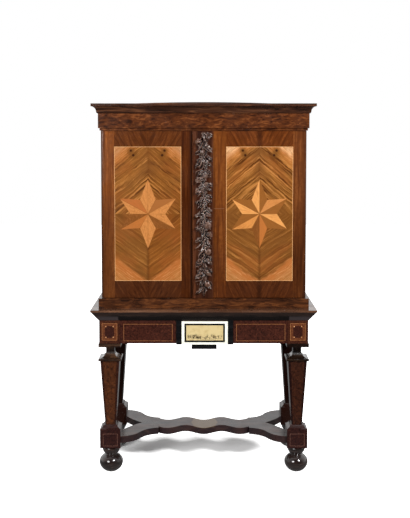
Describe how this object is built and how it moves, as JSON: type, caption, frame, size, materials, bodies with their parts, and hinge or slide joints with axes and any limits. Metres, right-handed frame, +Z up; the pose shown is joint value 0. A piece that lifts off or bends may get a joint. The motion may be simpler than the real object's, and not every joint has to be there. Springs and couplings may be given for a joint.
{
  "type": "cabinet on stand",
  "caption": "Walnut cabinet with star-inlaid doors and a carved meeting strip, on a stand with square tapered legs, bun feet, a serpentine stretcher and a frieze drawer.",
  "frame": {"origin": "centre of the overall box at floor level", "axes": "+X to the right seen from the front, +Y to the back, +Z up"},
  "size_m": [1.132, 0.52, 1.8849],
  "materials": {
    "walnut_veneer": "polished",
    "dark_walnut": "polished",
    "figured_walnut": "polished",
    "star_fruitwood": "polished",
    "carved_wood": "waxed",
    "ebonised_wood": "polished",
    "ebony": "polished",
    "bare_oak": "unpolished",
    "ivory": "polished bone",
    "plaque_ground": "engraved bone",
    "iron": "worn",
    "brass": "tarnished"
  },
  "bodies": {
    "cabinet": {"leg_blocks": "dark_walnut", "leg_capitals": "dark_walnut", "corner_posts": "dark_walnut", "stretcher_plank": "dark_walnut", "stretcher_fork_left": "dark_walnut", "stretcher_fork_right": "dark_walnut", "front_rails": "dark_walnut", "drawer_rails": "dark_walnut", "back_rail": "bare_oak", "side_rails": "dark_walnut", "stand_top": "walnut_veneer", "stand_top_moulding": "ebonised_wood", "ebony_strips": "ebony", "drawer_runners": "bare_oak", "drawer_kickers": "bare_oak", "plinth": "walnut_veneer", "frieze": "walnut_veneer", "cornice": "walnut_veneer", "top_board": "walnut_veneer", "carcase_side_left": "walnut_veneer", "carcase_side_right": "walnut_veneer", "carcase_bottom": "bare_oak", "carcase_top": "bare_oak", "back_boards": "bare_oak", "shelves": "bare_oak", "shelf_battens": "bare_oak", "bun_foot_front_left": "ebonised_wood", "leg_shaft_front_left": "dark_walnut", "bun_foot_front_right": "ebonised_wood", "leg_shaft_front_right": "dark_walnut", "bun_foot_back_left": "ebonised_wood", "leg_shaft_back_left": "dark_walnut", "bun_foot_back_right": "ebonised_wood", "leg_shaft_back_right": "dark_walnut"},
    "left_door": {"left_door_frame": "walnut_veneer", "left_door_panel": "bare_oak", "left_door_veneer": "figured_walnut", "left_door_star": "star_fruitwood", "left_pivot_pins": "iron", "lock_keeper": "iron", "bolt_guides": "iron"},
    "right_door": {"right_door_frame": "walnut_veneer", "right_door_panel": "bare_oak", "right_door_veneer": "figured_walnut", "right_door_star": "star_fruitwood", "right_pivot_pins": "iron", "meeting_strip": "walnut_veneer", "carved_garland": "carved_wood", "lock_case": "iron"},
    "frieze_drawer": {"drawer_front": "dark_walnut", "drawer_sides": "bare_oak", "drawer_back": "bare_oak", "drawer_bottom": "bare_oak", "ivory_frame": "ivory", "plaque_border": "ebony", "plaque": "plaque_ground", "drawer_pull": "ebony"},
    "lock_bolt": {"lock_bolt": "brass"},
    "top_bolt": {"top_bolt": "iron"},
    "bottom_bolt": {"bottom_bolt": "iron"}
  },
  "joints": [
    {"name": "left_door_hinge", "type": "hinge", "parent": "cabinet", "child": "left_door", "pos_m": [-0.503, -0.187, 1.323], "axis": [0, 0, -1], "range_deg": [0, 170]},
    {"name": "right_door_hinge", "type": "hinge", "parent": "cabinet", "child": "right_door", "pos_m": [0.503, -0.187, 1.323], "axis": [0, 0, 1], "range_deg": [0, 170]},
    {"name": "frieze_drawer_slide", "type": "slide", "parent": "cabinet", "child": "frieze_drawer", "axis": [0, -1, 0], "range_m": [0, 0.22]},
    {"name": "lock_bolt_slide", "type": "slide", "parent": "right_door", "child": "lock_bolt", "axis": [-1, 0, 0], "range_m": [0, 0.018]},
    {"name": "top_bolt_slide", "type": "slide", "parent": "left_door", "child": "top_bolt", "axis": [0, 0, 1], "range_m": [0, 0.018]},
    {"name": "bottom_bolt_slide", "type": "slide", "parent": "left_door", "child": "bottom_bolt", "axis": [0, 0, -1], "range_m": [0, 0.018]}
  ]
}
